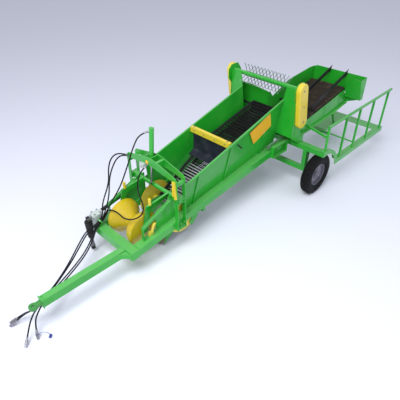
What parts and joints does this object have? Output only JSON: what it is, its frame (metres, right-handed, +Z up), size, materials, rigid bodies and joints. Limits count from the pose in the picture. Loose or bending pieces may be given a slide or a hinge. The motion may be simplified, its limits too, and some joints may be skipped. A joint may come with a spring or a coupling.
{
  "type": "trailed potato harvester",
  "caption": "Trailed one-row potato harvester with digging share, ridge roller, rod web trough, tined rotor, picking table and bagging platform.",
  "frame": {"origin": "middle of the footprint box, on the floor", "axes": "+X forward to the drawbar eye, +Y to the left side with the platform, +Z up"},
  "size_m": [7.6532, 2.4, 2.1209],
  "materials": {
    "black_plastic": "matte",
    "black_rubber": "matte",
    "blue_plastic": "gloss",
    "green_paint": "gloss",
    "grey_casting": "painted",
    "rim_paint": "satin",
    "roller_paint": "satin",
    "steel": "bright",
    "tyre_rubber": "matte",
    "yellow_paint": "gloss"
  },
  "bodies": {
    "machine": {"drawbar": "green_paint", "drawbar_eye": "steel", "front_crossmember": "green_paint", "rear_crossbeam": "green_paint", "axle": "green_paint", "main_beams": "green_paint", "trough_walls": "green_paint", "axle_hangers": "green_paint", "trough_web": "steel", "web_rollers": "black_rubber", "web_tail_frame": "green_paint", "share": "steel", "share_carrier": "green_paint", "coulter_guards": "green_paint", "portal_arch": "green_paint", "cheek_plates": "green_paint", "braces": "green_paint", "arch_latch": "yellow_paint", "cross_bar": "yellow_paint", "rubber_curtain": "black_rubber", "head_panels": "green_paint", "chain_guards": "yellow_paint", "table_near_wall": "green_paint", "table_far_wall": "green_paint", "table_end_wall": "green_paint", "bagging_chute": "green_paint", "picking_belt": "black_rubber", "table_rollers": "black_rubber", "table_dividers": "black_plastic", "table_leg": "green_paint", "platform_outer_beam": "green_paint", "platform_floor": "green_paint", "platform_inner_beam": "green_paint", "railing": "green_paint", "gearboxes": "grey_casting", "input_shaft": "steel", "drive_shaft": "black_plastic", "bracket_frame": "green_paint", "hose_couplings": "steel", "dust_cap": "blue_plastic", "head_side_plate_left": "green_paint", "head_side_plate_right": "green_paint", "hose_mast": "black_rubber", "hose_bulkhead": "black_rubber", "hose_arch_outer": "black_rubber", "hose_arch_inner": "black_rubber"},
    "wheel_left": {"tyre_left": "tyre_rubber", "rim_left": "rim_paint"},
    "wheel_right": {"tyre_right": "tyre_rubber", "rim_right": "rim_paint"},
    "coulter_left": {"disc_coulter_left": "yellow_paint"},
    "coulter_right": {"disc_coulter_right": "yellow_paint"},
    "swing": {"roller_swing": "green_paint", "swing_caps": "yellow_paint"},
    "lift_cylinder": {"lift_barrel": "green_paint"},
    "lift_piston": {"lift_rod": "steel"},
    "cardan": {"cardan_shaft": "black_plastic"},
    "roller": {"ridge_roller": "roller_paint"},
    "rotor": {"tined_rotor": "steel"}
  },
  "joints": [
    {"name": "wheel_left_spin", "type": "hinge", "parent": "machine", "child": "wheel_left", "pos_m": [-1.381, 1.07, 0.38], "axis": [0, 1, 0], "continuous": true},
    {"name": "wheel_right_spin", "type": "hinge", "parent": "machine", "child": "wheel_right", "pos_m": [-1.381, -1.11, 0.38], "axis": [0, 1, 0], "continuous": true},
    {"name": "coulter_left_spin", "type": "hinge", "parent": "machine", "child": "coulter_left", "pos_m": [1.179, 0.3135, 0.46], "axis": [0, 1, 0], "continuous": true},
    {"name": "coulter_right_spin", "type": "hinge", "parent": "machine", "child": "coulter_right", "pos_m": [1.179, -0.3535, 0.46], "axis": [0, 1, 0], "continuous": true},
    {"name": "roller_lift", "type": "hinge", "parent": "machine", "child": "swing", "pos_m": [1.399, -0.02, 0.95], "axis": [0, 1, 0], "range_deg": [0, 18]},
    {"name": "roller_spin", "type": "hinge", "parent": "swing", "child": "roller", "pos_m": [1.884, -0.02, 0.545], "axis": [0, 1, 0], "continuous": true},
    {"name": "lift_tilt", "type": "hinge", "parent": "machine", "child": "lift_cylinder", "pos_m": [1.4, -0.08, 1.41], "axis": [0, 1, 0], "range_deg": [-2.06, 0.41]},
    {"name": "lift_stroke", "type": "slide", "parent": "lift_cylinder", "child": "lift_piston", "axis": [0.0899, 0, -0.996], "range_m": [-0.0039, 0.0194]},
    {"name": "cardan_swing", "type": "hinge", "parent": "machine", "child": "cardan", "pos_m": [2.376, -0.445, 0.64], "axis": [0, -1, 0], "range_deg": [0, 60]},
    {"name": "rotor_spin", "type": "hinge", "parent": "machine", "child": "rotor", "pos_m": [-1.116, -0.02, 1.912], "axis": [0, 1, 0], "continuous": true}
  ],
  "couplings": [
    {"joint": "lift_tilt", "follows": "roller_lift", "ratio": -0.091368},
    {"joint": "lift_stroke", "follows": "roller_lift", "m_per_rad": 0.049433}
  ]
}
